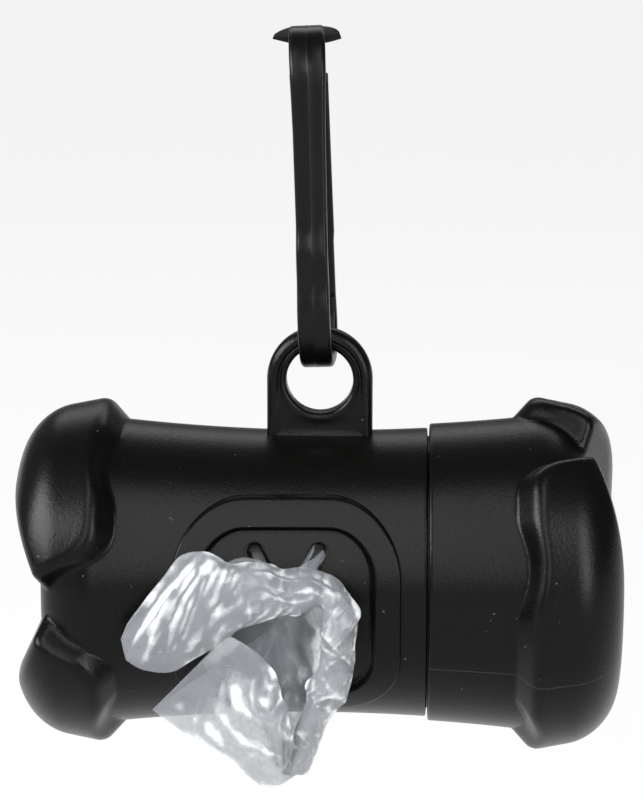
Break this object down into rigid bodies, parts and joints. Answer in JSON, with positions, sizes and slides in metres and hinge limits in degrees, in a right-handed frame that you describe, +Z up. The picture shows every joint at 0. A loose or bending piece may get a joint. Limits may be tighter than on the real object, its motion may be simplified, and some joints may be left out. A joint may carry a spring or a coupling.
{
  "type": "dog poop bag dispenser",
  "caption": "Bone-shaped bag dispenser: barrel with a crossed slot and hanging eye, pull-off end cap, roll of bags inside, and a snap hook with a sprung gate.",
  "frame": {"origin": "inside of the hook's top bend, where a leash ring hangs", "axes": "+X along the bone towards the cap, -Y to the front where the bag comes out, +Z up"},
  "size_m": [0.0828, 0.0544, 0.1003],
  "materials": {
    "body_plastic": "black moulded plastic, fine matt grain",
    "hook_plastic": "black moulded plastic, satin",
    "bag_film": "thin crumpled polythene film, pale grey, slightly clear",
    "wound_film": "wound polythene film, pale grey",
    "core_card": "brown paper tube"
  },
  "bodies": {
    "hook": {"hook": "hook_plastic"},
    "gate": {"hook_gate": "hook_plastic"},
    "dispenser": {"dispenser_body": "body_plastic"},
    "cap": {"end_cap": "body_plastic"},
    "roll": {"bag_core": "core_card", "bag_roll": "wound_film"},
    "bag": {"bag_end": "bag_film"}
  },
  "joints": [
    {"name": "swing", "type": "hinge", "parent": "hook", "child": "dispenser", "pos_m": [0.00153, 0, -0.04628], "axis": [0, 1, 0], "range_deg": [-85, 85]},
    {"name": "gate_spring", "type": "hinge", "parent": "hook", "child": "gate", "pos_m": [0.00122, 0.0055, -0.03538], "axis": [0.9994, -0.0087, 0.0332], "range_deg": [0, 14], "stiffness_Nm_per_rad": 0.4, "springref_deg": -2.86},
    {"name": "cap_pull", "type": "slide", "parent": "dispenser", "child": "cap", "axis": [1, 0, 0], "range_m": [0, 0.03]},
    {"name": "bag_pull", "type": "slide", "parent": "dispenser", "child": "bag", "axis": [0, -0.9945, -0.1045], "range_m": [0, 0.03]},
    {"name": "roll_spin", "type": "hinge", "parent": "dispenser", "child": "roll", "pos_m": [0.00153, 0, -0.07478], "axis": [1, 0, 0], "range_deg": [0, 110]}
  ],
  "couplings": [
    {"joint": "roll_spin", "follows": "bag_pull", "rad_per_m": 62.5}
  ]
}
